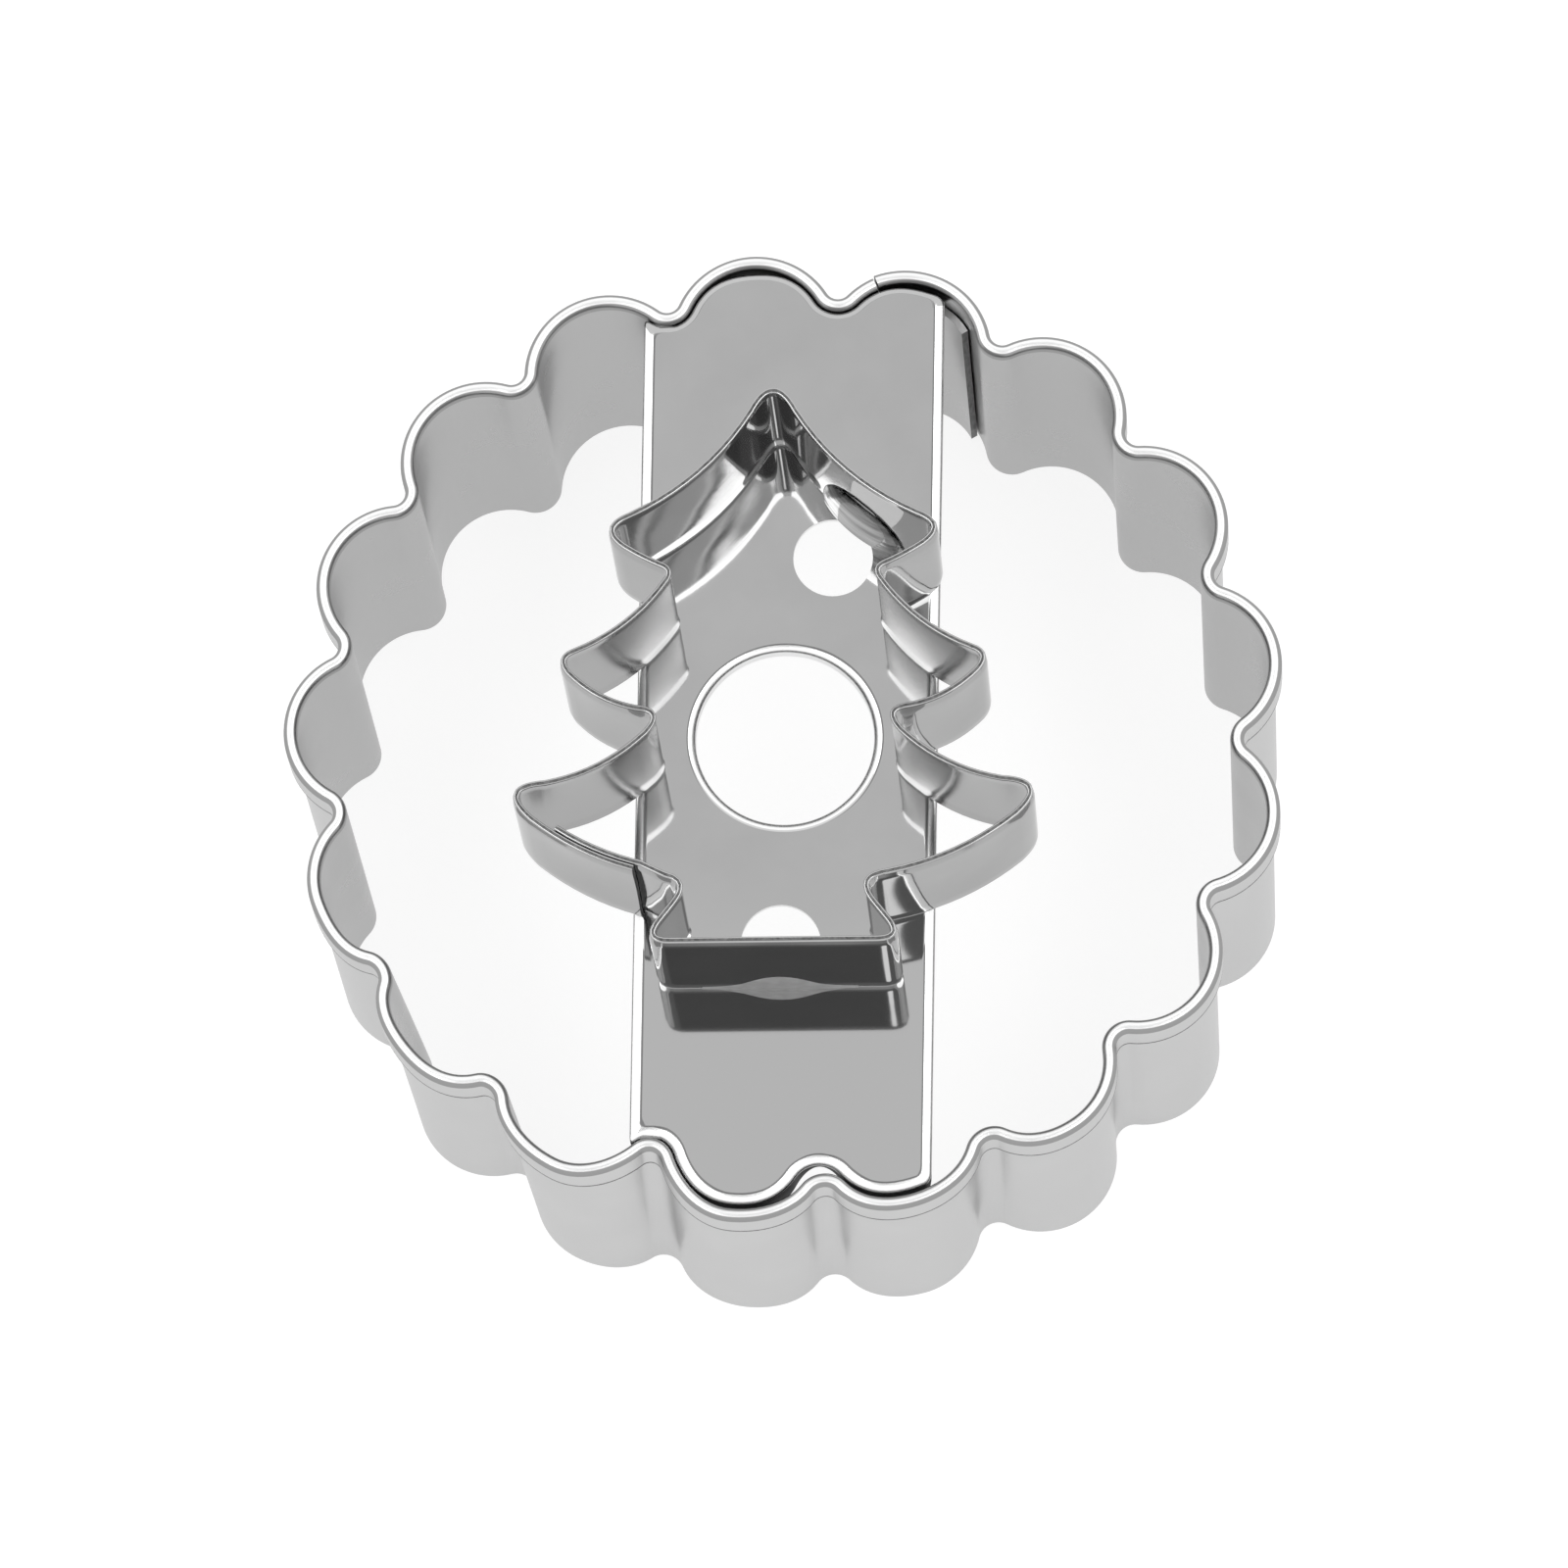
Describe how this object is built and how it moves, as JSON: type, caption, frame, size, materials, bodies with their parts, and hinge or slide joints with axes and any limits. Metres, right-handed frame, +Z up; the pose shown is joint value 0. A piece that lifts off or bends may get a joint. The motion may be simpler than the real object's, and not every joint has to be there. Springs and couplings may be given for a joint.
{
  "type": "linzer cookie cutter",
  "caption": "Round scalloped cookie cutter with a hemmed rim, a bridge plate with a finger hole, and a raised fir-tree cutter standing on the bridge.",
  "frame": {"origin": "middle of the scalloped ring on the plane of its cutting edge", "axes": "+Z up from the ring's cutting edge to its hemmed rim and the tree; +Y along the bridge from the trunk to the tree's top; +X across the bridge"},
  "size_m": [0.0487, 0.0488, 0.0287],
  "materials": {
    "ring_steel": "bright polished stainless steel strip",
    "bridge_steel": "mirror polished stainless steel sheet",
    "tree_steel": "bright polished stainless steel strip",
    "solder": "dull grey solder"
  },
  "bodies": {
    "root": {"outer_ring": "ring_steel", "bridge_plate": "bridge_steel", "tree_cutter": "tree_steel", "foot_solder_bead": "solder"}
  },
  "joints": []
}
